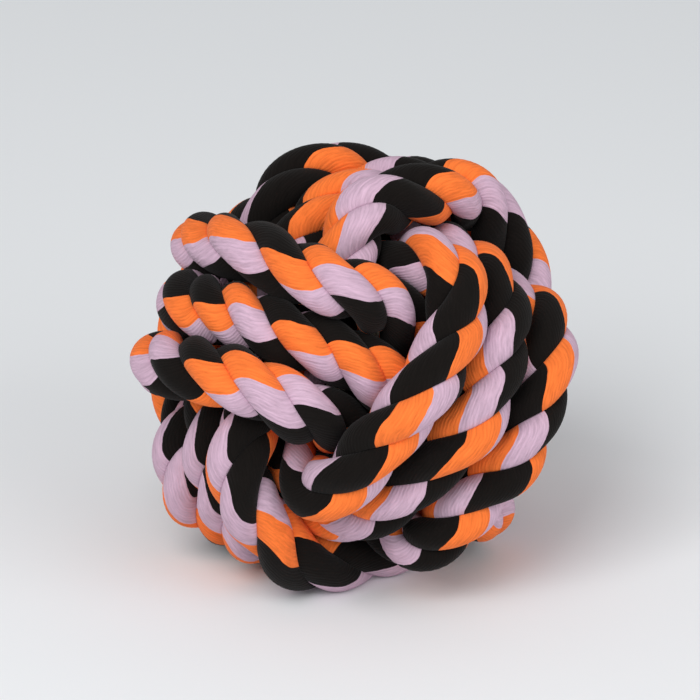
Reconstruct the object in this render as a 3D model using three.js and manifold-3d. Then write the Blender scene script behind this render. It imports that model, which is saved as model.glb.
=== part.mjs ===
// Rope ball dog toy: one length of thick cotton rope knotted into a monkey's fist round a core ball.
// Millimetres, +Z up. The ball stands on the passes that its own weight flattens, with the origin in
// the middle of its base and its front towards -Y. Three bands of passes cross over and under each
// other. The rope is laid loosely along them by a formula and then drawn tight: each pass straightens,
// bends evenly and keeps one pitch from the others, from the core and from the ground, while the
// passes that show follow the lines listed below.
import * as THREE from "three";
import { mergeVertices } from "three/addons/utils/BufferGeometryUtils.js";
import Module from "manifold-3d";

const wasm = await Module();
wasm.setup();

// Driving sizes
const ROPE_DIAMETER = 13.9;
const PASS_GAP = 0.6;
const CORE_DIAMETER = 34;
const SEAT_GAP = 0.3;
const BINDING_LENGTH = 6.6;
const BINDING_THREAD = 1.1;
const BINDING_INSET = 1;
const BASE_CUT_SHARE = 0.1;

// Counts of the knot and of its faces. A pass crosses a face of its band over so many steps either
// side of the face's middle.
const PASSES = 3;
const LOOP_STEPS = 24;
const BAND_STEPS = PASSES * LOOP_STEPS;
const FACE_STEPS = 4;
const END_STEPS = 3;
const TUBE_SIDES = 6;
const BINDING_TURNS = 5;
const BINDING_SIDES = 18;
const CORE_SIDES = 28;
const CORE_RINGS = 18;

// Sizes of the winding, as shares of the pitch: the loose loops, the depth of the two layers of rope
// over the core, how near two passes are watched for contact, and what the tube's straight steps cut
// off. The valley between two turns of thread is a share of the thread.
const LOOP_LONG_SHARE = 4.4;
const LOOP_SHORT_SHARE = 2.6;
const LOOSE_SHARE = 1.1;
const LAYERS_SHARE = 1.2;
const NEAR_SHARE = 1.5;
const STEP_SAG_SHARE = 0.06;
const VALLEY_SHARE = 0.4;

const ROPE_RADIUS = ROPE_DIAMETER / 2;
const PITCH = ROPE_DIAMETER + PASS_GAP;
const CORE_RADIUS = CORE_DIAMETER / 2;
const INNER_RADIUS = CORE_RADIUS + SEAT_GAP + ROPE_RADIUS + STEP_SAG_SHARE * PITCH;
const OUTER_RADIUS = INNER_RADIUS + LAYERS_SHARE * PITCH;
const GROUND = -INNER_RADIUS - PITCH;
const BINDING_BORE_RADIUS = ROPE_RADIUS - BINDING_THREAD;
const NECK_RADIUS = BINDING_BORE_RADIUS - SEAT_GAP;
const NECK_LENGTH = BINDING_INSET + BINDING_LENGTH + SEAT_GAP;
const SHOULDER_END = NECK_LENGTH + BINDING_THREAD;

// How the knot lies: its own axes turned to the way it rests, and the slope at which its front lines
// are seen
const KNOT_TURN = new THREE.Euler(...[34, -40, -33].map(THREE.MathUtils.degToRad));
const VIEW_SLOPE = THREE.MathUtils.degToRad(24);
const VIEW_RIGHT = new THREE.Vector3(1, 0, 0);
const VIEW_UP = new THREE.Vector3(0, Math.sin(VIEW_SLOPE), Math.cos(VIEW_SLOPE));

// The three bands in the order that the rope winds them. Each loop is long over one axis of the knot
// and short over another, and its turns step along the third, from one side of the band to the other.
// The rope starts a little before its first corner and ends a little before its last one, so that both
// ends lie under the passes of another band.
const TOP_BAND = {
  over: [0, 1, 0], under: [0, 0, 1], along: [1, 0, 0], start: -45, turn: 1, from: 1,
  steps: [-END_STEPS, BAND_STEPS],
};
const LEFT_BAND = {
  over: [0, 0, 1], under: [1, 0, 0], along: [0, 1, 0], start: -135, turn: 1, from: 1,
  steps: [0, BAND_STEPS],
};
const LOWER_BAND = {
  over: [1, 0, 0], under: [0, 1, 0], along: [0, 0, 1], start: -135, turn: -1, from: -1,
  steps: [0, BAND_STEPS - END_STEPS + 1],
};
const BANDS = [TOP_BAND, LEFT_BAND, LOWER_BAND];

// Where the passes show from the front, right and up from the ball's middle, as shares of the pitch.
// Each entry names the band, the face that it crosses and the passes on it, from one side of the band
// to the other.
const FRONT_LINE_SHARES = [
  [LEFT_BAND, 1, [
    [[-2.9, 0], [-2.25, -0.25], [-1.55, -0.4], [-0.8, -0.55], [-0.25, -0.65]],
    [[-2.5, 0.95], [-1.9, 0.85], [-1.3, 0.65], [-0.5, 0.2], [0, -0.05]],
    [[-2.25, 2.0], [-1.7, 1.95], [-1.2, 1.75], [-0.55, 1.45], [0.1, 1.2], [0.55, 1.0]],
  ]],
  [LOWER_BAND, 1, [
    [[0.8, -2.95], [1.45, -2.5], [2.1, -1.9], [2.75, -1.05], [2.95, -0.25], [2.95, 0.5]],
    [[-0.2, -2.4], [0.45, -2.05], [1.1, -1.5], [1.8, -0.85], [2.35, -0.1], [2.55, 0.6], [2.45, 1.2]],
    [[-0.65, -1.7], [-0.05, -1.3], [0.5, -0.65], [1.1, -0.05], [1.5, 0.6], [1.75, 1.2], [1.65, 1.65]],
  ]],
  [TOP_BAND, 1, [
    [[-1.05, 2.35], [-0.95, 2.75], [-0.65, 3.0], [-0.05, 3.05]],
    [[-0.4, 2.15], [-0.2, 2.5], [0.2, 2.75], [0.75, 2.75]],
    [[0.2, 2.0], [0.6, 2.3], [1.2, 2.4], [1.8, 2.3], [2.3, 2.0], [2.5, 1.35], [2.5, 1.0]],
  ]],
  [TOP_BAND, -1, [
    [[-2.35, -0.95], [-2.25, -1.5]],
    [[-2.2, -1.1], [-2.15, -1.7], [-1.85, -2.25], [-1.4, -2.75]],
    [[-1.7, -1.1], [-1.7, -1.7], [-1.4, -2.3], [-0.8, -2.85], [-0.1, -2.95]],
  ]],
];

// How the rope is drawn tight, step by step: the counts, and the shares of a bend, a distance or an
// overlap that one step mends
const DRAW_STEPS = 400;
const SETTLE_STEPS = 120;
const PAIR_STEPS = 8;
const PUSHES = 3;
const APART_STEPS = 3;
const TUCK_POINTS = 3;
const SAMPLES = 4;
const TIGHTEN_SHARE = 0.06;
const STIFFNESS_SHARE = 0.1;
const GUIDE_SHARE = 0.15;
const PRESS_SHARE = 0.2;
const TUCK_SHARE = 0.2;
const PUSH_SHARE = 1.2;

const material = (color, roughness) => new THREE.MeshStandardMaterial({ color, roughness, metalness: 0 });
const ropeMaterial = material("#ff7f3f", 0.95);
const coreMaterial = material("#e8dfce", 0.95);
const threadMaterial = material("#f2eee4", 0.9);

// The route

function knotAxis(axis) {
  return new THREE.Vector3(...axis).applyEuler(KNOT_TURN);
}

// Each loop is drawn as a rounded oblong, in mm from the ball's middle. Every point remembers its
// band, its angle round the band in degrees and how far across the band it lies.
function looseRoute() {
  const route = [];
  const middle = ((LOOP_LONG_SHARE + LOOP_SHORT_SHARE) / 2) * PITCH;
  const swing = ((LOOP_LONG_SHARE - LOOP_SHORT_SHARE) / 2) * PITCH;
  const width = PASSES * LOOSE_SHARE * PITCH;
  for (const band of BANDS) {
    const [over, under, along] = [band.over, band.under, band.along].map(knotAxis);
    for (let i = band.steps[0]; i < band.steps[1]; i++) {
      const turned = band.start + (band.turn * 360 * i) / LOOP_STEPS;
      const angle = THREE.MathUtils.degToRad(turned);
      const reach = middle + swing * Math.cos(2 * angle);
      const across = band.from * (1 / 2 - THREE.MathUtils.clamp(i / BAND_STEPS, 0, 1)) * width;
      const point = new THREE.Vector3()
        .addScaledVector(over, reach * Math.cos(angle))
        .addScaledVector(under, reach * Math.sin(angle))
        .addScaledVector(along, across);
      route.push({ point, band, turned, across });
    }
  }
  return route;
}

// The stretches of one band that cross one of its two faces, in order across the band
function faceStretches(route, band, face) {
  const centre = face > 0 ? 0 : 180;
  const stretches = [];
  let open = null;
  route.forEach((place, index) => {
    const off = Math.abs(THREE.MathUtils.euclideanModulo(place.turned - centre + 180, 360) - 180);
    if (place.band !== band || off > (FACE_STEPS * 360) / LOOP_STEPS) {
      open = null;
      return;
    }
    if (!open) stretches.push((open = []));
    open.push(index);
  });
  const middle = (stretch) => route[stretch[Math.floor(stretch.length / 2)]].across;
  const full = stretches.filter((stretch) => stretch.length > TUCK_POINTS * 2);
  return full.sort((a, b) => middle(a) - middle(b));
}

function frontGuides(route) {
  return FRONT_LINE_SHARES.flatMap(([band, face, lines]) => {
    const stretches = faceStretches(route, band, face);
    return lines.map((shares, rank) => ({
      indices: stretches[rank] ?? [],
      line: shares.map(([right, up]) => new THREE.Vector2(right, up).multiplyScalar(PITCH)),
    }));
  });
}

// The pull sideways towards the nearest point of a line, which stops past the line's ends
function pullTo(line, seen) {
  let best = null;
  for (let k = 0; k + 1 < line.length; k++) {
    const stretch = line[k + 1].clone().sub(line[k]);
    const share = seen.clone().sub(line[k]).dot(stretch) / stretch.lengthSq();
    const near = line[k].clone().addScaledVector(stretch, THREE.MathUtils.clamp(share, 0, 1));
    const distance = near.distanceTo(seen);
    const past = (k === 0 && share < 0) || (k === line.length - 2 && share > 1);
    if (!best || distance < best.distance) best = { distance, past, pull: near.sub(seen) };
  }
  return best.past ? new THREE.Vector2() : best.pull;
}

// Each point moves towards the middle of its neighbours, less the bend that this leaves
function bends(values) {
  return values.map((value, i) => {
    if (i === 0 || i === values.length - 1) return new THREE.Vector3();
    return values[i - 1].clone().add(values[i + 1]).multiplyScalar(1 / 2).sub(value);
  });
}

// A point outside a radius moves back towards it
function pullIn(point, radius, strength) {
  point.multiplyScalar(1 - (strength * Math.max(point.length() - radius, 0)) / point.length());
}

function drawTight(points, guides) {
  const lap = bends(points);
  const curl = bends(lap);
  points.forEach((point, i) => {
    point.addScaledVector(lap[i], TIGHTEN_SHARE).addScaledVector(curl[i], -STIFFNESS_SHARE);
    const atEnd = i < TUCK_POINTS || i >= points.length - TUCK_POINTS;
    if (atEnd) pullIn(point, INNER_RADIUS, TUCK_SHARE);
    pullIn(point, OUTER_RADIUS, PRESS_SHARE);
  });
  for (const { indices, line } of guides) {
    for (const i of indices) {
      const seen = new THREE.Vector2(points[i].dot(VIEW_RIGHT), points[i].dot(VIEW_UP));
      const pull = pullTo(line, seen).multiplyScalar(GUIDE_SHARE);
      points[i].addScaledVector(VIEW_RIGHT, pull.x).addScaledVector(VIEW_UP, pull.y);
    }
  }
}

// Places along a route, several to a step, each with the step's number and the share of it
function placesAlong(points) {
  const places = [];
  for (let i = 0; i + 1 < points.length; i++) {
    for (let k = 0; k < SAMPLES; k++) places.push({ i, share: k / SAMPLES, point: new THREE.Vector3() });
  }
  return places;
}

function moveAlong(places, points) {
  for (const place of places) place.point.lerpVectors(points[place.i], points[place.i + 1], place.share);
}

function nearPairs(places) {
  const pairs = [];
  places.forEach((one, k) => {
    for (let m = k + 1; m < places.length; m++) {
      const other = places[m];
      if (other.i - one.i < APART_STEPS) continue;
      if (one.point.distanceTo(other.point) < NEAR_SHARE * PITCH) pairs.push([one, other]);
    }
  });
  return pairs;
}

// Passes that press into each other move apart, and none goes into the core or the ground
function keepApart(points, pairs) {
  const push = points.map(() => new THREE.Vector3());
  const count = points.map(() => 0);
  const between = new THREE.Vector3();
  const shove = ({ i, share }, by) => {
    push[i].addScaledVector(between, by * (1 - share));
    push[i + 1].addScaledVector(between, by * share);
    count[i] += 1 - share;
    count[i + 1] += share;
  };
  for (const [one, other] of pairs) {
    between.subVectors(one.point, other.point);
    const distance = between.length();
    if (distance >= PITCH) continue;
    const by = (PITCH - distance) / 2 / distance;
    shove(one, by);
    shove(other, -by);
  }
  points.forEach((point, i) => {
    point.addScaledVector(push[i], PUSH_SHARE / Math.max(count[i], 1));
    if (point.length() < INNER_RADIUS) point.setLength(INNER_RADIUS);
    point.z = Math.max(point.z, GROUND);
  });
}

// The rope's two ends run straight, so that their bindings sit on straight necks
function straightenEnds(points) {
  points[1].lerpVectors(points[0], points[2], 1 / 2);
  points.at(-2).lerpVectors(points.at(-1), points.at(-3), 1 / 2);
}

// Steps in which the rope is first drawn, if it still is, and then kept apart
function work(points, steps, draw) {
  const places = placesAlong(points);
  let pairs = [];
  for (let step = 0; step < steps; step++) {
    draw?.();
    moveAlong(places, points);
    if (step % PAIR_STEPS === 0) pairs = nearPairs(places);
    for (let k = 0; k < PUSHES; k++) {
      keepApart(points, pairs);
      straightenEnds(points);
      moveAlong(places, points);
    }
  }
}

// The rope's route as the points where the tube's straight steps meet
function tightRoute() {
  const route = looseRoute();
  const guides = frontGuides(route);
  const drawn = route.map(({ point }) => point);
  work(drawn, DRAW_STEPS, () => drawTight(drawn, guides));
  const length = lengthsAlong(drawn).at(-1);
  const settled = pointsAt(drawn, drawn.map((_, i) => (length * i) / (drawn.length - 1)));
  work(settled, SETTLE_STEPS);
  return settled;
}

function lengthsAlong(points) {
  const walked = [0];
  for (let i = 1; i < points.length; i++) {
    walked.push(walked[i - 1] + points[i].distanceTo(points[i - 1]));
  }
  return walked;
}

// The points of a route at some distances along it, in rising order
function pointsAt(points, distances) {
  const walked = lengthsAlong(points);
  let k = 0;
  return distances.map((distance) => {
    while (k < points.length - 2 && walked[k + 1] < distance) k++;
    return points[k].clone().lerp(points[k + 1], (distance - walked[k]) / (walked[k + 1] - walked[k]));
  });
}

// The rope's full stations, with a straight neck at each end for its binding
function ropeStations(points) {
  const walked = lengthsAlong(points);
  const length = walked.at(-1);
  const full = points.map((point, i) => ({ point, radius: ROPE_RADIUS, distance: walked[i] }))
    .filter(({ distance }) => Math.min(distance, length - distance) > SHOULDER_END);
  const neck = (distances) => pointsAt(points, distances)
    .map((point, i) => ({ point, radius: NECK_RADIUS, distance: distances[i] }));
  return [...neck([0, NECK_LENGTH]), ...full, ...neck([length - NECK_LENGTH, length])];
}

// The least gaps, measured on points along the rope's straight steps, and printed
function printGaps(points) {
  const places = placesAlong(points);
  moveAlong(places, points);
  const depths = places.map(({ point }) => point.length());
  const apart = nearPairs(places).map(([one, other]) => one.point.distanceTo(other.point));
  const toCore = Math.min(...depths) - ROPE_RADIUS - CORE_RADIUS;
  const toSelf = Math.min(...apart) - ROPE_DIAMETER;
  console.log(`rope ${lengthsAlong(points).at(-1).toFixed(0)} mm long`);
  console.log(`least gap to itself ${toSelf.toFixed(2)} mm, to the core ${toCore.toFixed(2)} mm`);
}

// Solids

// One closed tube through stations, each a point and the rope's radius there
function tube(stations) {
  const positions = [];
  const faces = [];
  const normal = new THREE.Vector3();
  stations.forEach(({ point, radius }, i) => {
    const before = stations[Math.max(i - 1, 0)].point;
    const after = stations[Math.min(i + 1, stations.length - 1)].point;
    const back = point.clone().sub(before).normalize();
    const ahead = after.clone().sub(point).normalize();
    const along = back.add(ahead).normalize();
    if (i === 0) normal.crossVectors(along, VIEW_RIGHT);
    normal.addScaledVector(along, -normal.dot(along)).normalize();
    const side = along.clone().cross(normal);
    for (let k = 0; k < TUBE_SIDES; k++) {
      const angle = (2 * Math.PI * k) / TUBE_SIDES;
      const corner = point.clone()
        .addScaledVector(normal, radius * Math.cos(angle))
        .addScaledVector(side, radius * Math.sin(angle));
      positions.push(...corner.toArray());
      const next = (k + 1) % TUBE_SIDES;
      const [here, there] = [i * TUBE_SIDES, (i + 1) * TUBE_SIDES];
      if (i === stations.length - 1) continue;
      faces.push(here + k, here + next, there + next, here + k, there + next, there + k);
    }
  });
  const lastRing = (stations.length - 1) * TUBE_SIDES;
  for (let k = 1; k + 1 < TUBE_SIDES; k++) {
    faces.push(0, k + 1, k, lastRing, lastRing + k, lastRing + k + 1);
  }
  const geometry = new THREE.BufferGeometry();
  geometry.setAttribute("position", new THREE.Float32BufferAttribute(positions, 3));
  geometry.setIndex(faces);
  return geometry;
}

function toManifold(geometry) {
  const merged = mergedShape(geometry);
  return new wasm.Manifold(new wasm.Mesh({
    numProp: 3,
    vertProperties: new Float32Array(merged.attributes.position.array),
    triVerts: new Uint32Array(merged.index.array),
  }));
}

function fromManifold(solid) {
  const { numProp, vertProperties, triVerts } = solid.getMesh();
  const geometry = new THREE.BufferGeometry();
  const positions = Array.from({ length: vertProperties.length / numProp }, (_, i) =>
    [...vertProperties.slice(i * numProp, i * numProp + 3)]).flat();
  geometry.setAttribute("position", new THREE.Float32BufferAttribute(positions, 3));
  geometry.setIndex([...triVerts]);
  return geometry;
}

function mergedShape(geometry) {
  const bare = geometry.clone();
  bare.deleteAttribute("normal");
  bare.deleteAttribute("uv");
  return mergeVertices(bare);
}

// The rope, pressed flat where it stands
function ropeGeometry(stations) {
  const round = tube(stations);
  round.computeBoundingBox();
  const { min, max } = round.boundingBox;
  const level = min.z + BASE_CUT_SHARE * ROPE_DIAMETER;
  const side = max.x - min.x + max.y - min.y;
  const ground = new THREE.BoxGeometry(side, side, ROPE_DIAMETER);
  ground.translate((min.x + max.x) / 2, (min.y + max.y) / 2, level - ROPE_DIAMETER / 2);
  const geometry = fromManifold(toManifold(round).subtract(toManifold(ground)));
  geometry.computeBoundingBox();
  return geometry;
}

function coreGeometry() {
  return mergedShape(new THREE.SphereGeometry(CORE_RADIUS, CORE_SIDES, CORE_RINGS));
}

// Turns of thread side by side, wound tight over the rope's neck
function bindingGeometry() {
  const profile = [new THREE.Vector2(BINDING_BORE_RADIUS, 0)];
  const turn = BINDING_LENGTH / BINDING_TURNS;
  const valley = BINDING_BORE_RADIUS + VALLEY_SHARE * BINDING_THREAD;
  for (let k = 0; k < BINDING_TURNS; k++) {
    profile.push(new THREE.Vector2(valley, k * turn));
    profile.push(new THREE.Vector2(ROPE_RADIUS, (k + 1 / 2) * turn));
  }
  profile.push(new THREE.Vector2(valley, BINDING_LENGTH));
  profile.push(new THREE.Vector2(BINDING_BORE_RADIUS, BINDING_LENGTH));
  profile.push(profile[0]);
  return mergedShape(new THREE.LatheGeometry(profile, BINDING_SIDES));
}

function piece(name, geometry, finish) {
  const mesh = new THREE.Mesh(geometry, finish);
  mesh.name = name;
  return mesh;
}

function bindingPiece(name, end, inward) {
  const mesh = piece(name, bindingGeometry(), threadMaterial);
  const along = inward.clone().sub(end).normalize();
  mesh.quaternion.setFromUnitVectors(new THREE.Vector3(0, 1, 0), along);
  mesh.position.copy(end).addScaledVector(along, BINDING_INSET);
  return mesh;
}

function ropeBall() {
  const route = tightRoute();
  printGaps(route);
  const stations = ropeStations(route);
  const rope = ropeGeometry(stations);
  const { min, max } = rope.boundingBox;
  const ball = new THREE.Group();
  ball.position.set(-(min.x + max.x) / 2, -(min.y + max.y) / 2, -min.z);
  ball.add(piece("rope", rope, ropeMaterial), piece("core_ball", coreGeometry(), coreMaterial));
  ball.add(bindingPiece("end_binding_first", stations[0].point, stations[1].point));
  ball.add(bindingPiece("end_binding_last", stations.at(-1).point, stations.at(-2).point));
  return ball;
}

const group = new THREE.Group();
group.add(ropeBall());

export default group;
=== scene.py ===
import math

import bpy
import numpy as np
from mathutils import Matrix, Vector


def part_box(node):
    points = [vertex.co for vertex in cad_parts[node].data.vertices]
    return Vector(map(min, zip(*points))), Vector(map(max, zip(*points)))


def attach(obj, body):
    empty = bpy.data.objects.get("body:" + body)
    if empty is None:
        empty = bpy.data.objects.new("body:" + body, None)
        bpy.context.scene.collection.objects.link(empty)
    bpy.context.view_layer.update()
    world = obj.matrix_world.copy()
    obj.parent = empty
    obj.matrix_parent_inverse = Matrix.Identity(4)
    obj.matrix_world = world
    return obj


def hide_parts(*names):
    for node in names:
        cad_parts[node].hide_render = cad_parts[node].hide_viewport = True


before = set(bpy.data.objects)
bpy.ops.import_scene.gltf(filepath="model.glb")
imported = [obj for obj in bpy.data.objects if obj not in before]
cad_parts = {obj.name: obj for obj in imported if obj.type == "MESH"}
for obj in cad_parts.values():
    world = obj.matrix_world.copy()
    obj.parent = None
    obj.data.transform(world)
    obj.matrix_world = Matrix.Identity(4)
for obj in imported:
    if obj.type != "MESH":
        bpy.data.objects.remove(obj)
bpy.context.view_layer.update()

# Units: the frame is in metres, and every size below is in millimetres
MM = 0.001

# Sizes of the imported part
ROPE_DIAMETER = 13.9
PASS_GAP = 0.6
CORE_DIAMETER = 34
SEAT_GAP = 0.3
BINDING_LENGTH = 6.6
BINDING_THREAD = 1.1
BINDING_INSET = 1

# Counts of the knot. A pass crosses a face of its band over so many steps either side of the face's middle.
PASSES = 3
LOOP_STEPS = 24
BAND_STEPS = PASSES * LOOP_STEPS
FACE_STEPS = 4
END_STEPS = 3
BINDING_TURNS = 5

# Sizes of the winding, as shares of the pitch: half the length and half the width of a loose loop, the
# distance between loose passes, how far out the outer layer of rope lies from the inner one, how near two
# passes are watched for contact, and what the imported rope's straight steps cut off
LOOP_LONG_SHARE = 4.4
LOOP_SHORT_SHARE = 2.6
LOOSE_SHARE = 1.1
LAYERS_SHARE = 1.2
NEAR_SHARE = 1.5
STEP_SAG_SHARE = 0.06

ROPE_RADIUS = ROPE_DIAMETER / 2
PITCH = ROPE_DIAMETER + PASS_GAP
CORE_RADIUS = CORE_DIAMETER / 2
INNER_RADIUS = CORE_RADIUS + SEAT_GAP + ROPE_RADIUS + STEP_SAG_SHARE * PITCH
OUTER_RADIUS = INNER_RADIUS + LAYERS_SHARE * PITCH
GROUND = -INNER_RADIUS - PITCH

# How the knot lies: its own axes turned to the way it rests, in degrees about x, y and z, and the slope
# from which the photograph looks down on it
KNOT_TURN = (34, -40, -33)
VIEW_SLOPE = math.radians(24)
VIEW_RIGHT = np.array([1.0, 0.0, 0.0])
VIEW_UP = np.array([0.0, math.sin(VIEW_SLOPE), math.cos(VIEW_SLOPE)])

# The three bands in the order that the rope winds them. Each loop is long over one axis of the knot and
# short over another, and its turns step along the third, from one side of the band to the other.
TOP_BAND = {
    "over": (0, 1, 0), "under": (0, 0, 1), "along": (1, 0, 0), "start": -45, "turn": 1, "from": 1,
    "steps": (-END_STEPS, BAND_STEPS),
}
LEFT_BAND = {
    "over": (0, 0, 1), "under": (1, 0, 0), "along": (0, 1, 0), "start": -135, "turn": 1, "from": 1,
    "steps": (0, BAND_STEPS),
}
LOWER_BAND = {
    "over": (1, 0, 0), "under": (0, 1, 0), "along": (0, 0, 1), "start": -135, "turn": -1, "from": -1,
    "steps": (0, BAND_STEPS - END_STEPS + 1),
}
BANDS = [TOP_BAND, LEFT_BAND, LOWER_BAND]

# Where the passes show from the front, right and up from the ball's middle, as shares of the pitch. Each
# entry has a band, a face of it, and a line for each pass there, from one side of the band to the other.
FRONT_LINE_SHARES = [
    (LEFT_BAND, 1, [
        [(-2.9, 0), (-2.25, -0.25), (-1.55, -0.4), (-0.8, -0.55), (-0.25, -0.65)],
        [(-2.5, 0.95), (-1.9, 0.85), (-1.3, 0.65), (-0.5, 0.2), (0, -0.05)],
        [(-2.25, 2.0), (-1.7, 1.95), (-1.2, 1.75), (-0.55, 1.45), (0.1, 1.2), (0.55, 1.0)],
    ]),
    (LOWER_BAND, 1, [
        [(0.8, -2.95), (1.45, -2.5), (2.1, -1.9), (2.75, -1.05), (2.95, -0.25), (2.95, 0.5)],
        [(-0.2, -2.4), (0.45, -2.05), (1.1, -1.5), (1.8, -0.85), (2.35, -0.1), (2.55, 0.6), (2.45, 1.2)],
        [(-0.65, -1.7), (-0.05, -1.3), (0.5, -0.65), (1.1, -0.05), (1.5, 0.6), (1.75, 1.2), (1.65, 1.65)],
    ]),
    (TOP_BAND, 1, [
        [(-1.05, 2.35), (-0.95, 2.75), (-0.65, 3.0), (-0.05, 3.05)],
        [(-0.4, 2.15), (-0.2, 2.5), (0.2, 2.75), (0.75, 2.75)],
        [(0.2, 2.0), (0.6, 2.3), (1.2, 2.4), (1.8, 2.3), (2.3, 2.0), (2.5, 1.35), (2.5, 1.0)],
    ]),
    (TOP_BAND, -1, [
        [(-2.35, -0.95), (-2.25, -1.5)],
        [(-2.2, -1.1), (-2.15, -1.7), (-1.85, -2.25), (-1.4, -2.75)],
        [(-1.7, -1.1), (-1.7, -1.7), (-1.4, -2.3), (-0.8, -2.85), (-0.1, -2.95)],
    ]),
]

# How the rope is drawn tight, step by step: the counts, and the shares of a bend, a distance or an
# overlap that one step mends
DRAW_STEPS = 400
SETTLE_STEPS = 120
PAIR_STEPS = 8
PUSHES = 3
APART_STEPS = 3
TUCK_POINTS = 3
SAMPLES = 4
TIGHTEN_SHARE = 0.06
STIFFNESS_SHARE = 0.1
GUIDE_SHARE = 0.15
PRESS_SHARE = 0.2
TUCK_SHARE = 0.2
PUSH_SHARE = 1.2

# The curve that the strands follow: the distance between its rings, the parts that each of the rope's
# straight steps is first divided into, and the lengths over which the curve and the lay are evened out
RING_STEP = 1.0
CURVE_DIVISIONS = 12
CURVE_SOFTNESS = 3
LAY_SOFTNESS = 4

# The rope's lay. The soft strands bulge a little past the pitch and press into their neighbours. A
# strand's middle, its round outer side and the inner edge of its flat sides are placed by shares of the
# rope's radius, and the round is a little wider than deep.
STRANDS = 3
VISIBLE_DIAMETER = 15.2
LAY_LENGTH = 42
STRAND_REACH_SHARE = 0.42
STRAND_ROUND_SHARE = 0.58
STRAND_STRETCH = 1.04
STRAND_CORE_SHARE = 0.06
ARC_POINTS = 27
CREASE_SEARCH_POINTS = 2000

# Soft cotton: how gently a strand bends where it is pressed flat on the floor, and the length and depth
# of the uneven places along it
PRESSED_EDGE = 0.35
UNEVEN_LENGTH = 4
UNEVEN_SWELL = 0.15

# Each strand is itself twisted the other way, so that its yarns run nearly along the rope: they go twice
# round the strand while the strand goes once round the rope. A cut across the rope meets a strand at a
# slant, so there the way round the strand grows by one share of the angle and by another share of its
# sine. The rest of the way round is shared out over the hidden sides.
YARN_TURNS = 2
YARN_ANGLE_SHARE = 0.62
YARN_SINE_SHARE = 0.52
HIDDEN_WAY_SHARES = (0.25, 0.45, 0.55, 0.75, 1)

# How the rope lies turned on each pass that shows from the front. Each entry has a band, a face of it, the
# number of the pass there, and the places at which the strands face the eye, one strand after the other.
# A place is given in mm along the rope from the middle of the pass, with the part round the strand that
# faces the eye there, as a share of a turn.
FRONT_STRANDS = [
    (TOP_BAND, 1, 2, [(-46, 0.2), (-31, 0.06), (-16, 0.3), (0, 0.8), (13, 0.2), (28, 0.56), (41, 0.8)]),
    (TOP_BAND, -1, 2, [(-51, 0.2), (-36, 0.3), (-20, 0.88), (-4, 0.2), (11, 0.2), (25, 0.66)]),
    (TOP_BAND, 1, 1, [(-15, 0.74), (-1, 0.86), (13, 0.42), (28, 0.72), (42, 0.5)]),
    (TOP_BAND, -1, 1, [(-39, 0.25), (-27, 0.25), (-14, 0.42), (-3, 0.8)]),
    (TOP_BAND, 1, 0, [(-15, 0.0), (-1, 0.56), (14, 0.66), (31, 0.14), (45, 0.3)]),
    (TOP_BAND, -1, 0, [(-39, 0.15), (-26, 0.4), (-14, 0.6)]),
    (LEFT_BAND, 1, 2, [(-56, 0.72), (-40, 0.66), (-23.5, 0.87), (-12, 0.47), (1, 0.38)]),
    (LEFT_BAND, 1, 1, [(-37, 0.98), (-28, 0.93), (-19, 0.57), (-7, 0.8), (5, 0.78)]),
    (LEFT_BAND, 1, 0, [(-45, 0.68), (-33.5, 0.36), (-21.5, 0.88), (-10, 0.63), (3, 0.31)]),
    (LOWER_BAND, 1, 0, [(-48.5, 0.2), (-35.5, 0.0), (-23, 0.64), (-9, 0.38), (4, 0.1), (16, 0.8)]),
    (LOWER_BAND, 1, 1, [(-29.5, 0.53), (-15.5, 0.55), (0, 0.07), (16.5, 0.72), (31, 0.87)]),
    (LOWER_BAND, 1, 2, [(-35.5, 0.86), (-23, 0.17), (-9, 0.07), (5.5, 0.88), (20.5, 0.17)]),
]

# Between these two places in mm along the rope, both under other passes, the yarns follow each other the
# other way round the strand
MIRRORED_STRETCH = (762, 1413)

# The camera: how far off it is, the width that it takes in at the ball, and the pixel at which the ball's
# middle shows
CAMERA_DISTANCE = 1500
FRAME_WIDTH = 162
SENSOR_WIDTH = 36
IMAGE_SIDE = 700
BALL_MIDDLE_SEEN = (352, 369)


# Small helpers

def to_linear(hex_colour):
    """An sRGB hex colour as the linear colour that the shaders take."""
    channels = [int(hex_colour[i:i + 2], 16) / 255 for i in (1, 3, 5)]
    linear = [c / 12.92 if c <= 0.04045 else ((c + 0.055) / 1.055) ** 2.4 for c in channels]
    return (*linear, 1.0)


def unit(vectors):
    return vectors / np.linalg.norm(vectors, axis=-1, keepdims=True)


def deselect_all():
    bpy.ops.object.select_all(action="DESELECT")


# The ball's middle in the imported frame, which is the middle of its core
core_low, core_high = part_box("core_ball")
BALL_MIDDLE = (np.array(core_low) + np.array(core_high)) / 2


# Camera, at the slope from which the photograph looks down on the ball

def place_camera():
    camera_data = bpy.data.cameras.new("front_camera")
    camera_data.sensor_width = SENSOR_WIDTH
    camera_data.lens = SENSOR_WIDTH * CAMERA_DISTANCE / FRAME_WIDTH
    camera = bpy.data.objects.new("front_camera", camera_data)
    bpy.context.scene.collection.objects.link(camera)
    back = Vector((0, -math.cos(VIEW_SLOPE), math.sin(VIEW_SLOPE)))
    pixel = FRAME_WIDTH / IMAGE_SIDE * MM
    right = (IMAGE_SIDE / 2 - BALL_MIDDLE_SEEN[0]) * pixel
    up = (BALL_MIDDLE_SEEN[1] - IMAGE_SIDE / 2) * pixel
    aim = Vector(BALL_MIDDLE) + Vector(VIEW_RIGHT) * right + Vector(VIEW_UP) * up
    camera.location = aim + back * CAMERA_DISTANCE * MM
    camera.rotation_mode = "QUATERNION"
    camera.rotation_quaternion = (-back).to_track_quat("-Z", "Y")
    bpy.context.scene.camera = camera


place_camera()


# The route

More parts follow.
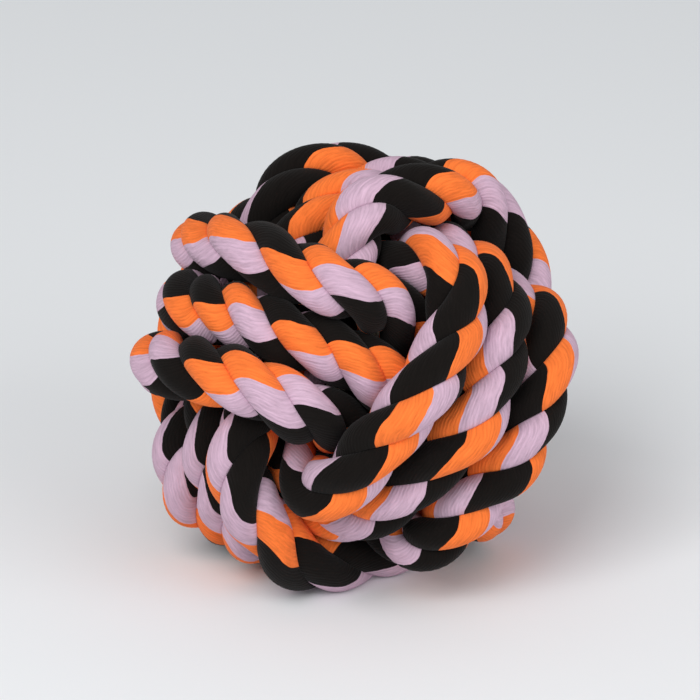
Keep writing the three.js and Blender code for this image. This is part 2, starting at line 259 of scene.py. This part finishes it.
def knot_matrix():
    x, y, z = (math.radians(turn) for turn in KNOT_TURN)
    about_x = np.array([[1, 0, 0], [0, math.cos(x), -math.sin(x)], [0, math.sin(x), math.cos(x)]])
    about_y = np.array([[math.cos(y), 0, math.sin(y)], [0, 1, 0], [-math.sin(y), 0, math.cos(y)]])
    about_z = np.array([[math.cos(z), -math.sin(z), 0], [math.sin(z), math.cos(z), 0], [0, 0, 1]])
    return about_x @ about_y @ about_z


def loose_route():
    """Each loop is a rounded oblong. Every place has its point, its band, its angle in degrees and how far
    across the band it is."""
    turned_axes = knot_matrix()
    middle = (LOOP_LONG_SHARE + LOOP_SHORT_SHARE) / 2 * PITCH
    swing = (LOOP_LONG_SHARE - LOOP_SHORT_SHARE) / 2 * PITCH
    width = PASSES * LOOSE_SHARE * PITCH
    places = []
    for band in BANDS:
        over, under, along = (
            turned_axes @ np.array(band[side], float) for side in ("over", "under", "along")
        )
        for i in range(*band["steps"]):
            turned = band["start"] + band["turn"] * 360 * i / LOOP_STEPS
            angle = math.radians(turned)
            reach = middle + swing * math.cos(2 * angle)
            across = band["from"] * (1 / 2 - min(max(i / BAND_STEPS, 0), 1)) * width
            point = over * reach * math.cos(angle) + under * reach * math.sin(angle) + along * across
            places.append({"point": point, "band": band, "turned": turned, "across": across})
    return places


def face_stretches(places, band, face):
    """The stretches of one band that cross one of its two faces, in order across the band."""
    centre = 0 if face > 0 else 180
    stretches = []
    is_open = False
    for index, place in enumerate(places):
        off = abs((place["turned"] - centre + 180) % 360 - 180)
        if place["band"] is not band or off > FACE_STEPS * 360 / LOOP_STEPS:
            is_open = False
            continue
        if not is_open:
            stretches.append([])
            is_open = True
        stretches[-1].append(index)
    full = [stretch for stretch in stretches if len(stretch) > TUCK_POINTS * 2]
    return sorted(full, key=lambda stretch: places[stretch[len(stretch) // 2]]["across"])


def front_guides(places):
    """The lines that the passes in front are drawn towards, each with the places of its pass."""
    guides = []
    for band, face, lines in FRONT_LINE_SHARES:
        for stretch, line in zip(face_stretches(places, band, face), lines):
            guides.append((stretch, np.array(line, float) * PITCH))
    return guides


def pull_to(line, seen):
    """The pull sideways towards the nearest point of a line, which stops past the line's ends."""
    stretch = line[1:] - line[:-1]
    offset = seen[:, None, :] - line[None, :-1, :]
    share = (offset * stretch).sum(-1) / (stretch ** 2).sum(-1)
    near = line[None, :-1, :] + stretch * np.clip(share, 0, 1)[..., None]
    best = np.argmin(np.linalg.norm(near - seen[:, None, :], axis=-1), axis=1)
    rows = np.arange(len(seen))
    past = (best == 0) & (share[rows, 0] < 0) | (best == len(stretch) - 1) & (share[rows, -1] > 1)
    return np.where(past[:, None], 0, near[rows, best] - seen)


def bends(values):
    """How far each value is from the middle of its two neighbours. The two ends stay as they are."""
    bent = np.zeros_like(values)
    bent[1:-1] = (values[:-2] + values[2:]) / 2 - values[1:-1]
    return bent


def pull_in(points, radius, share):
    """Points outside a radius move a share of the way back to it."""
    far = np.linalg.norm(points, axis=1, keepdims=True)
    points *= 1 - share * np.maximum(far - radius, 0) / far


def draw_tight(points, guides):
    """One step in which the rope shortens, keeps its stiffness, is pressed in and follows its guides."""
    lap = bends(points)
    points += lap * TIGHTEN_SHARE - bends(lap) * STIFFNESS_SHARE
    pull_in(points[:TUCK_POINTS], INNER_RADIUS, TUCK_SHARE)
    pull_in(points[-TUCK_POINTS:], INNER_RADIUS, TUCK_SHARE)
    pull_in(points, OUTER_RADIUS, PRESS_SHARE)
    for indices, line in guides:
        seen = np.stack([points[indices] @ VIEW_RIGHT, points[indices] @ VIEW_UP], axis=1)
        pull = pull_to(line, seen) * GUIDE_SHARE
        points[indices] += pull[:, :1] * VIEW_RIGHT + pull[:, 1:] * VIEW_UP


def keep_apart(points, steps, shares, pairs):
    """Passes that press into each other move apart, and none goes into the core or the ground."""
    places = points[steps] * (1 - shares)[:, None] + points[steps + 1] * shares[:, None]
    one, other = pairs
    between = places[one] - places[other]
    distance = np.linalg.norm(between, axis=1)
    pressed = distance < PITCH
    one, other, between, distance = one[pressed], other[pressed], between[pressed], distance[pressed]
    shove = between * ((PITCH - distance) / 2 / distance)[:, None]
    push = np.zeros_like(points)
    count = np.zeros(len(points))
    for place, by in ((one, shove), (other, -shove)):
        for step, weight in ((steps[place], 1 - shares[place]), (steps[place] + 1, shares[place])):
            np.add.at(push, step, by * weight[:, None])
            np.add.at(count, step, weight)
    points += push * (PUSH_SHARE / np.maximum(count, 1))[:, None]
    far = np.linalg.norm(points, axis=1)
    inside = far < INNER_RADIUS
    points[inside] *= (INNER_RADIUS / far[inside])[:, None]
    points[:, 2] = np.maximum(points[:, 2], GROUND)


def work_rope(points, rounds, guides=None):
    """Rounds in which the rope is first drawn, if it has guides, and then kept apart. Its two ends run
    straight, so that their bindings sit on straight necks."""
    steps = np.repeat(np.arange(len(points) - 1), SAMPLES)
    shares = np.tile(np.arange(SAMPLES) / SAMPLES, len(points) - 1)
    later = steps[None, :] - steps[:, None] >= APART_STEPS
    for turn in range(rounds):
        if guides is not None:
            draw_tight(points, guides)
        if turn % PAIR_STEPS == 0:
            places = points[steps] * (1 - shares)[:, None] + points[steps + 1] * shares[:, None]
            squares = (places ** 2).sum(1)
            apart = squares[:, None] + squares[None, :] - 2 * places @ places.T
            pairs = np.nonzero(later & (apart < (NEAR_SHARE * PITCH) ** 2))
        for _ in range(PUSHES):
            keep_apart(points, steps, shares, pairs)
            points[1] = (points[0] + points[2]) / 2
            points[-2] = (points[-1] + points[-3]) / 2


def distances_along(points):
    return np.concatenate([[0], np.cumsum(np.linalg.norm(np.diff(points, axis=0), axis=1))])


def evenly(points, count):
    """So many points at even distances along the same way."""
    walked = distances_along(points)
    wanted = np.linspace(0, walked[-1], count)
    return np.stack([np.interp(wanted, walked, points[:, k]) for k in range(3)], axis=1)


def tight_route(places):
    """The rope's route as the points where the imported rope's straight steps meet."""
    drawn = np.array([place["point"] for place in places])
    work_rope(drawn, DRAW_STEPS, front_guides(places))
    settled = evenly(drawn, len(drawn))
    work_rope(settled, SETTLE_STEPS)
    return settled


def softened(values, softness):
    """Values at even steps along the rope, each evened out with its neighbours over a length in mm."""
    reach = int(2 * softness / RING_STEP)
    weights = np.exp(-(np.arange(-reach, reach + 1) * RING_STEP / softness) ** 2 / 2)
    padded = np.pad(values, reach, "edge")
    return np.convolve(padded, weights / weights.sum(), "valid")


def smooth_curve(points, step):
    """A smooth curve through the points, evened out a little, in even steps of about the given length."""
    before = np.vstack([2 * points[0] - points[1], points[:-1]])[:-1]
    start, end = points[:-1], points[1:]
    after = np.vstack([points[2:], 2 * points[-1] - points[-2]])
    parts = []
    for share in np.arange(CURVE_DIVISIONS) / CURVE_DIVISIONS:
        parts.append(
            start + (end - before) * share / 2
            + (2 * before - 5 * start + 4 * end - after) * share ** 2 / 2
            + (3 * start - before - 3 * end + after) * share ** 3 / 2
        )
    dense = np.stack(parts, axis=1).reshape(-1, 3)
    dense = np.vstack([dense, points[-1]])
    length = np.linalg.norm(np.diff(dense, axis=0), axis=1).sum()
    even = evenly(dense, int(round(length / step)) + 1)
    reach = int(2 * CURVE_SOFTNESS / step)
    for k in range(3):
        even[reach:-reach, k] = softened(even[:, k], CURVE_SOFTNESS)[reach:-reach]
    return evenly(even, len(even))


def carried_frame(points):
    """The direction of a curve at each point, and a normal carried along it without turning round it."""
    along = unit(np.gradient(points, axis=0))
    normal = np.cross(along[0], VIEW_RIGHT)
    normals = []
    for direction in along:
        normal = normal - direction * (normal @ direction)
        normal = normal / np.linalg.norm(normal)
        normals.append(normal)
    return along, np.array(normals)


# Meshes

def swept_mesh(name, rings, around, along):
    """A closed skin over rings of points, each ring running round its way in the same sense. around has one
    column more than a ring has points, so that the pattern meets itself where the skin closes."""
    count, sides = rings.shape[:2]
    step = np.arange(count - 1)[:, None] * sides
    side = np.arange(sides)[None, :]
    following = (side + 1) % sides
    quads = np.stack([
        step + side,
        step + following,
        step + sides + following,
        step + sides + side,
    ], axis=-1)
    faces = [list(quad) for quad in quads.reshape(-1, 4)]
    faces.append(list(range(sides))[::-1])
    faces.append(list(range((count - 1) * sides, count * sides)))
    mesh = bpy.data.meshes.new(name)
    mesh.from_pydata((rings.reshape(-1, 3) * MM + BALL_MIDDLE).tolist(), [], faces)
    near_u, far_u = around[:-1, :], around[1:, :]
    along_u = np.broadcast_to(along[:, None], around.shape)
    us = np.stack([near_u[:, :-1], near_u[:, 1:], far_u[:, 1:], far_u[:, :-1]], axis=-1)
    vs = np.stack([along_u[:-1, :-1], along_u[:-1, 1:], along_u[1:, 1:], along_u[1:, :-1]], axis=-1)
    first_cap = [(around[0, k], along[0]) for k in reversed(range(sides))]
    last_cap = [(around[-1, k], along[-1]) for k in range(sides)]
    corners = np.concatenate([np.stack([us, vs], axis=-1).reshape(-1, 2), np.array(first_cap + last_cap)])
    layer = mesh.uv_layers.new(name="yarn")
    layer.data.foreach_set("uv", corners.astype(np.float32).ravel())
    mesh.polygons.foreach_set("use_smooth", [True] * len(mesh.polygons))
    mesh.update()
    piece = bpy.data.objects.new(name, mesh)
    bpy.context.scene.collection.objects.link(piece)
    return piece


def strand_arc(angles):
    """Points on the plump round of a strand, as (outward, sideways) in parts of the rope's radius."""
    return np.stack([
        STRAND_REACH_SHARE + STRAND_ROUND_SHARE * np.cos(angles),
        STRAND_ROUND_SHARE * STRAND_STRETCH * np.sin(angles),
    ], axis=1)


def strand_section():
    """One strand's outline across the rope: its round as far as the creases against its two neighbours, and
    flat sides where it presses on them. Each point also has its way round the strand."""
    crease = math.pi / STRANDS
    angles = np.linspace(0, math.pi, CREASE_SEARCH_POINTS)
    outward, sideways = strand_arc(angles).T
    crossed = np.nonzero(np.arctan2(sideways, outward) > crease)[0]
    arc = np.linspace(-angles[crossed[0]], angles[crossed[0]], ARC_POINTS)
    outer = strand_arc(arc)
    inner = STRAND_CORE_SHARE * np.array([
        [math.cos(crease), math.sin(crease)],
        [math.cos(crease), -math.sin(crease)],
    ])
    outline = np.vstack([outer, (outer[-1] + inner[0]) / 2, inner, (outer[0] + inner[1]) / 2])
    way = (YARN_ANGLE_SHARE * arc + YARN_SINE_SHARE * np.sin(arc)) / (2 * math.pi)
    hidden = way[-1] + (1 - 2 * way[-1]) * np.array(HIDDEN_WAY_SHARES)
    return outline, np.concatenate([way, hidden])


def rope_swell(walked):
    """The rope's radius along it: full, but gathered in by the bindings near its two ends."""
    from_end = np.minimum(walked, walked[-1] - walked)
    bound = BINDING_INSET + BINDING_LENGTH + SEAT_GAP
    neck = ROPE_RADIUS - BINDING_THREAD - SEAT_GAP
    share = np.clip((from_end - bound) / ROPE_DIAMETER, 0, 1)
    return neck + (VISIBLE_DIAMETER / 2 - neck) * np.sin(share * math.pi / 2)


def nearest_turns(values):
    """The same shares of a turn, each with the whole turns that bring it nearest to the one before."""
    return np.unwrap(values, period=1)


def front_strands(places, steps_walked):
    """Each place where a strand faces the eye, in order along the rope, with the part of the strand that
    does so and whether it is the first of its pass."""
    found = []
    for band, face, rank, seen in FRONT_STRANDS:
        stretch = face_stretches(places, band, face)[rank]
        middle = steps_walked[stretch[len(stretch) // 2]]
        for number, (along_pass, part) in enumerate(seen):
            found.append((middle + along_pass, part, number == 0))
    return sorted(found)


def lay_turns(places, route, curve, along, normals):
    """How far the first strand has turned round the rope at each point of the curve, the part of each
    strand that faces outwards there, both in turns, and the sense in which the yarns follow each other."""
    walked = distances_along(curve)
    steps_walked = distances_along(route) * walked[-1] / distances_along(route)[-1]
    sides = np.cross(along, normals)
    toward_eye = np.array([0, -math.cos(VIEW_SLOPE), math.sin(VIEW_SLOPE)])
    eye_turns = nearest_turns(np.arctan2(sides @ toward_eye, normals @ toward_eye) / (2 * math.pi))
    mirrored = (walked > MIRRORED_STRETCH[0]) & (walked < MIRRORED_STRETCH[1])
    sense = np.where(mirrored, -1.0, 1.0)
    stops, changes = [], []
    parts_at = [[] for _ in range(STRANDS)]
    turn, eye_before, change = 0, 0, 0
    for place, part, is_first in front_strands(places, steps_walked):
        index = int(round(np.interp(place, walked, np.arange(len(walked)))))
        eye = eye_turns[index]
        if is_first:
            guess = place / LAY_LENGTH + change
            turn = eye + round((guess - eye) * STRANDS) / STRANDS
        else:
            turn += 1 / STRANDS + eye - eye_before
        eye_before = eye
        change = turn - place / LAY_LENGTH
        stops.append(place)
        changes.append(change)
        number = round((eye - turn) * STRANDS) % STRANDS
        parts_at[number].append((place, part - sense[index] * YARN_TURNS * turn))
    turns = walked / LAY_LENGTH + softened(np.interp(walked, stops, changes), LAY_SOFTNESS)
    parts = []
    for rows in parts_at:
        held, offsets = np.array(rows).T
        smooth = softened(np.interp(walked, held, nearest_turns(offsets)), LAY_SOFTNESS)
        parts.append(sense * YARN_TURNS * turns + smooth)
    return turns, np.array(parts), sense


def press_flat(points):
    """Points that would go through the floor are pressed flat on it."""
    height = points[..., 2] + BALL_MIDDLE[2] / MM
    points[..., 2] += PRESSED_EDGE * np.logaddexp(0, height / PRESSED_EDGE) - height


def lay_strand(number, points, along, normals, turns, facing, sense):
    """One of the rope's strands, laid right-handed round the rope's route."""
    walked = distances_along(points)
    uneven = softened(np.random.default_rng(number).normal(size=len(walked)), UNEVEN_LENGTH)
    radius = rope_swell(walked) + UNEVEN_SWELL * uneven / uneven.std()
    turn = 2 * math.pi * (turns + number / STRANDS)
    sides = np.cross(along, normals)
    outward = normals * np.cos(turn)[:, None] + sides * np.sin(turn)[:, None]
    sideways = np.cross(along, outward)
    outline, way = strand_section()
    rings = points[:, None, :] + radius[:, None, None] * (
        outline[None, :, :1] * outward[:, None, :] + outline[None, :, 1:] * sideways[:, None, :]
    )
    press_flat(rings)
    around = facing[:, None] + sense[:, None] * way[None, :]
    return swept_mesh(f"rope_strand_{number + 1}", rings, around, walked)


# Materials

def add_node(tree, kind, settings=None, links=None):
    """A node with its settings and links. A setting that is no property of the node is an input's value."""
    node = tree.nodes.new(kind)
    for name, value in (settings or {}).items():
        if isinstance(name, str) and hasattr(node, name):
            setattr(node, name, value)
        else:
            node.inputs[name].default_value = value
    for name, source in (links or {}).items():
        tree.links.new(source, node.inputs[name])
    return node


def new_finish(name):
    finish = bpy.data.materials.new(name)
    finish.use_nodes = True
    finish.node_tree.nodes.clear()
    return finish, finish.node_tree


# The yarns lie side by side round each strand in three groups, black, lilac and orange. One is about
# 0.8 mm thick and sways a little from its way, over about 8 mm. Its fibres run along it for about 4 mm.
# Real fibres are far too fine to show in the picture, so they are drawn about as coarse as a yarn.
BLACK_YARN = "#130f0d"
LILAC_YARN = "#ceaec2"
ORANGE_YARN = "#fb7c38"
BLACK_SHARE = 0.44
LILAC_SHARE = 0.28
YARN_WIDTH = 0.8
YARNS_ROUND = math.floor(math.pi * STRAND_ROUND_SHARE * VISIBLE_DIAMETER / YARN_WIDTH)
YARN_SWAY_WIDTH = 8
YARN_SWAY_SHARE = 0.07
YARN_HEIGHT = 0.3
YARN_TONES = (0.76, 1.14)
# Painted shade darkens the valleys between the yarns. It fades in over a share of a yarn's width on each
# side and is deepest in the middle of a valley, where the colour keeps the given share of its full tone.
VALLEY_SHARE = 0.3
VALLEY_PAINTED_SHADE = 0.92
FIBRE_LENGTH = 4
FIBRES_A_YARN = 1.1
FIBRE_HEIGHT_SHARE = 1.4

# The undyed cotton of the hidden pieces, and the range in which nearly all values of a noise lie
PLAIN_TONES = (0.8, 1.05)
PLAIN_HEIGHT = 0.2
NOISE_RANGE = (0.3, 0.7)


def dyed_cotton_yarn():
    """Dyed cotton yarn, spun soft. To the eye it is matt with a faint bloom of loose fibres, in fine
    parallel yarns that run along the strand's own twist, each a little lighter or darker than the next."""
    finish, tree = new_finish("dyed_cotton_yarn")

    # The way round the strand, with a sway, picks the dye
    uv = add_node(tree, "ShaderNodeUVMap", {"uv_map": "yarn"})
    split = add_node(tree, "ShaderNodeSeparateXYZ", links={"Vector": uv.outputs["UV"]})
    place = add_node(tree, "ShaderNodeTexCoord")
    sway = add_node(tree, "ShaderNodeTexNoise", {
        "Scale": 1 / (YARN_SWAY_WIDTH * MM),
        "Detail": 2.0,
    }, {"Vector": place.outputs["Object"]})
    swayed = add_node(tree, "ShaderNodeMath", {"operation": "MULTIPLY_ADD", 1: YARN_SWAY_SHARE}, {
        0: sway.outputs["Fac"],
        2: split.outputs["X"],
    })
    part = add_node(tree, "ShaderNodeMath", {"operation": "FRACT"}, {0: swayed.outputs[0]})
    dye = add_node(tree, "ShaderNodeValToRGB", links={"Fac": part.outputs[0]})
    dye.color_ramp.interpolation = "CONSTANT"
    dye.color_ramp.elements[0].color = to_linear(BLACK_YARN)
    dye.color_ramp.elements[1].position = BLACK_SHARE
    dye.color_ramp.elements[1].color = to_linear(LILAC_YARN)
    dye.color_ramp.elements.new(BLACK_SHARE + LILAC_SHARE).color = to_linear(ORANGE_YARN)

    # Each yarn is a wave across, with fibres drawn out along it
    count = add_node(tree, "ShaderNodeMath", {"operation": "MULTIPLY", 1: YARNS_ROUND}, {
        0: part.outputs[0],
    })
    wave = add_node(tree, "ShaderNodeMath", {"operation": "PINGPONG", 1: 1 / 2}, {0: count.outputs[0]})
    run = add_node(tree, "ShaderNodeMath", {"operation": "MULTIPLY", 1: 1 / FIBRE_LENGTH}, {
        0: split.outputs["Y"],
    })
    fibre_place = add_node(tree, "ShaderNodeCombineXYZ", links={
        "X": count.outputs[0],
        "Y": run.outputs[0],
    })
    fibres = add_node(tree, "ShaderNodeTexNoise", {
        "Scale": FIBRES_A_YARN,
        "Detail": 5.0,
        "Roughness": 0.65,
    }, {"Vector": fibre_place.outputs[0]})

    # Light and dark fibres, and painted shade that darkens the valleys between the yarns
    tone = add_node(tree, "ShaderNodeMapRange", {
        "From Min": NOISE_RANGE[0],
        "From Max": NOISE_RANGE[1],
        "To Min": YARN_TONES[0],
        "To Max": YARN_TONES[1],
    }, {"Value": fibres.outputs["Fac"]})
    painted_valley_shade = add_node(tree, "ShaderNodeMapRange", {
        "From Min": 0.0,
        "From Max": VALLEY_SHARE,
        "To Min": VALLEY_PAINTED_SHADE,
        "To Max": 1.0,
    }, {"Value": wave.outputs[0]})
    shade = add_node(tree, "ShaderNodeMath", {"operation": "MULTIPLY"}, {
        0: tone.outputs[0],
        1: painted_valley_shade.outputs[0],
    })
    colour = add_node(tree, "ShaderNodeVectorMath", {"operation": "SCALE"}, {
        "Vector": dye.outputs["Color"],
        "Scale": shade.outputs[0],
    })
    relief = add_node(tree, "ShaderNodeMath", {"operation": "MULTIPLY_ADD", 1: FIBRE_HEIGHT_SHARE}, {
        0: fibres.outputs["Fac"],
        2: wave.outputs[0],
    })
    bump = add_node(tree, "ShaderNodeBump", {"Strength": 0.45, "Distance": YARN_HEIGHT * MM}, {
        "Height": relief.outputs[0],
    })
    shader = add_node(tree, "ShaderNodeBsdfPrincipled", {
        "Roughness": 0.9,
        "Specular IOR Level": 0.1,
        "Sheen Weight": 0.05,
        "Sheen Roughness": 0.5,
    }, {"Base Color": colour.outputs[0], "Normal": bump.outputs[0]})
    add_node(tree, "ShaderNodeOutputMaterial", links={"Surface": shader.outputs["BSDF"]})
    return finish


def plain_cotton(name, colour, fibre_width):
    """Undyed cotton, as a soft waste yarn or a waxed thread: to the eye it is pale and matt, with a low
    uneven relief of fibres. The wax is thin and gives no shine."""
    finish, tree = new_finish(name)
    place = add_node(tree, "ShaderNodeTexCoord")
    fibres = add_node(tree, "ShaderNodeTexNoise", {
        "Scale": 1 / (fibre_width * MM),
        "Detail": 5.0,
    }, {"Vector": place.outputs["Object"]})
    pale = add_node(tree, "ShaderNodeMapRange", {
        "From Min": NOISE_RANGE[0],
        "From Max": NOISE_RANGE[1],
        "To Min": PLAIN_TONES[0],
        "To Max": PLAIN_TONES[1],
    }, {"Value": fibres.outputs["Fac"]})
    tint = add_node(tree, "ShaderNodeVectorMath", {"operation": "SCALE", 0: to_linear(colour)[:3]}, {
        "Scale": pale.outputs[0],
    })
    bump = add_node(tree, "ShaderNodeBump", {"Strength": 0.5, "Distance": PLAIN_HEIGHT * MM}, {
        "Height": fibres.outputs["Fac"],
    })
    shader = add_node(tree, "ShaderNodeBsdfPrincipled", {
        "Roughness": 0.95,
        "Specular IOR Level": 0.2,
    }, {"Base Color": tint.outputs[0], "Normal": bump.outputs[0]})
    add_node(tree, "ShaderNodeOutputMaterial", links={"Surface": shader.outputs["BSDF"]})
    return finish


# The rope's three strands

knot_places = loose_route()
route = tight_route(knot_places)
curve = smooth_curve(route, RING_STEP)
directions, normals = carried_frame(curve)
turns, facing, sense = lay_turns(knot_places, route, curve, directions, normals)
cotton = dyed_cotton_yarn()
for number in range(STRANDS):
    strand = lay_strand(number, curve, directions, normals, turns, facing[number], sense)
    strand.data.materials.append(cotton)
    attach(strand, "root")
    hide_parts("rope")


# The core and the bindings

# The core's yarn. Each turn of it swings by a share of a turn from the one before, so that the turns keep
# crossing and don't line up. Fibres are drawn coarser than real ones, which would be too fine to show.
WASTE_YARN = 1.8
WASTE_FIBRE = 1.5
WASTE_COTTON = "#e8dfce"
CORE_WINDINGS = 46
CORE_STEPS = 48
CORE_SWAY_SHARE = 0.382
CORE_SIDES = 48
CORE_RINGS = 24
THREAD_FIBRE = 0.6
THREAD_COTTON = "#f2eee4"
THREAD_STEPS = 30
TUBE_SIDES = 8


def wound_tube(name, points, radius):
    """A round yarn or thread along points, closed at both ends."""
    along, out = carried_frame(points)
    angles = np.arange(TUBE_SIDES) * 2 * math.pi / TUBE_SIDES
    sides = np.cross(along, out)
    rings = points[:, None, :] + radius * (
        out[:, None, :] * np.cos(angles)[None, :, None]
        + sides[:, None, :] * np.sin(angles)[None, :, None]
    )
    around = np.broadcast_to(np.arange(TUBE_SIDES + 1) / TUBE_SIDES, (len(points), TUBE_SIDES + 1))
    return swept_mesh(name, rings, around, distances_along(points))


def wind_core():
    """A ball of waste cotton yarn, wound in turns that keep crossing each other over a closed middle."""
    reach = CORE_RADIUS - WASTE_YARN / 2
    deselect_all()
    bpy.ops.mesh.primitive_uv_sphere_add(
        segments=CORE_SIDES,
        ring_count=CORE_RINGS,
        radius=reach * MM,
        location=BALL_MIDDLE,
    )
    middle = bpy.context.active_object
    bpy.ops.object.transform_apply(location=True, rotation=True, scale=True)
    bpy.ops.object.shade_smooth()
    turn = np.linspace(0, CORE_WINDINGS * 2 * math.pi, CORE_WINDINGS * CORE_STEPS)
    sway = turn * CORE_SWAY_SHARE
    tilt = turn * CORE_SWAY_SHARE * CORE_SWAY_SHARE
    ring = np.stack([np.cos(turn), np.sin(turn) * np.cos(sway), np.sin(turn) * np.sin(sway)], axis=1)
    path = np.stack([
        ring[:, 0] * np.cos(tilt) - ring[:, 1] * np.sin(tilt),
        ring[:, 0] * np.sin(tilt) + ring[:, 1] * np.cos(tilt),
        ring[:, 2],
    ], axis=1)
    winding = wound_tube("core_winding", unit(path) * reach, WASTE_YARN / 2)
    middle.data.uv_layers.active.name = "yarn"
    winding.select_set(True)
    middle.select_set(True)
    bpy.context.view_layer.objects.active = middle
    bpy.ops.object.join()
    middle.name = "wound_core"
    return middle


def bind_end(name, end, inward):
    """Turns of thread drawn tight round one end of the rope."""
    along = unit(inward - end)
    out = unit(np.cross(along, VIEW_RIGHT))
    side = np.cross(along, out)
    turn = np.linspace(0, BINDING_TURNS - 1, (BINDING_TURNS - 1) * THREAD_STEPS + 1)
    step = BINDING_LENGTH / BINDING_TURNS
    reach = ROPE_RADIUS - step / 2
    angle = turn * 2 * math.pi
    points = end + along * (BINDING_INSET + step / 2 + turn[:, None] * step) + reach * (
        out * np.cos(angle)[:, None] + side * np.sin(angle)[:, None]
    )
    return wound_tube(name, points, step / 2)


def finish_hidden_piece(piece, finish, node):
    piece.data.materials.clear()
    piece.data.materials.append(finish)
    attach(piece, "root")
    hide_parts(node)


waste_cotton = plain_cotton("waste_cotton_yarn", WASTE_COTTON, WASTE_FIBRE)
binding_cotton = plain_cotton("waxed_cotton_thread", THREAD_COTTON, THREAD_FIBRE)
finish_hidden_piece(wind_core(), waste_cotton, "core_ball")
first_end = bind_end("first_end_thread", route[0], route[2])
finish_hidden_piece(first_end, binding_cotton, "end_binding_first")
last_end = bind_end("last_end_thread", route[-1], route[-3])
finish_hidden_piece(last_end, binding_cotton, "end_binding_last")


# Floor and light

# Each lamp has its name, its place, the side of its square and its power in watts
FLOOR_SIDE = 4000
FLOOR_COLOUR = "#eef0f2"
LAMPS = [
    ("key_lamp", (-500, -900, 1100), 900, 14),
    ("fill_lamp", (900, -800, 600), 1000, 6),
]
WORLD_COLOUR = "#f4f6f8"
WORLD_STRENGTH = 0.45


def lay_floor():
    """A floor of pale matt paper: to the eye it is plain, with only the ball's soft shadow on it."""
    deselect_all()
    bpy.ops.mesh.primitive_plane_add(size=FLOOR_SIDE * MM, location=(0, 0, 0))
    floor = bpy.context.active_object
    floor.name = "floor"
    finish, tree = new_finish("pale_paper")
    shader = add_node(tree, "ShaderNodeBsdfPrincipled", {
        "Base Color": to_linear(FLOOR_COLOUR),
        "Roughness": 0.9,
        "Specular IOR Level": 0.1,
    })
    add_node(tree, "ShaderNodeOutputMaterial", links={"Surface": shader.outputs["BSDF"]})
    floor.data.materials.append(finish)


def hang_lamp(name, place, side, power):
    """A square lamp that shines on the ball."""
    lamp = bpy.data.lights.new(name, "AREA")
    lamp.size = side * MM
    lamp.energy = power
    hung = bpy.data.objects.new(name, lamp)
    bpy.context.scene.collection.objects.link(hung)
    hung.location = Vector(place) * MM
    hung.rotation_mode = "QUATERNION"
    hung.rotation_quaternion = (Vector(BALL_MIDDLE) - hung.location).to_track_quat("-Z", "Y")


def light_world():
    world = bpy.data.worlds.new("pale_studio")
    bpy.context.scene.world = world
    world.use_nodes = True
    tree = world.node_tree
    tree.nodes.clear()
    back = add_node(tree, "ShaderNodeBackground", {
        "Color": to_linear(WORLD_COLOUR),
        "Strength": WORLD_STRENGTH,
    })
    add_node(tree, "ShaderNodeOutputWorld", links={"Surface": back.outputs["Background"]})


lay_floor()
for lamp_name, lamp_place, lamp_side, lamp_power in LAMPS:
    hang_lamp(lamp_name, lamp_place, lamp_side, lamp_power)
light_world()
bpy.context.scene.view_settings.view_transform = "Standard"
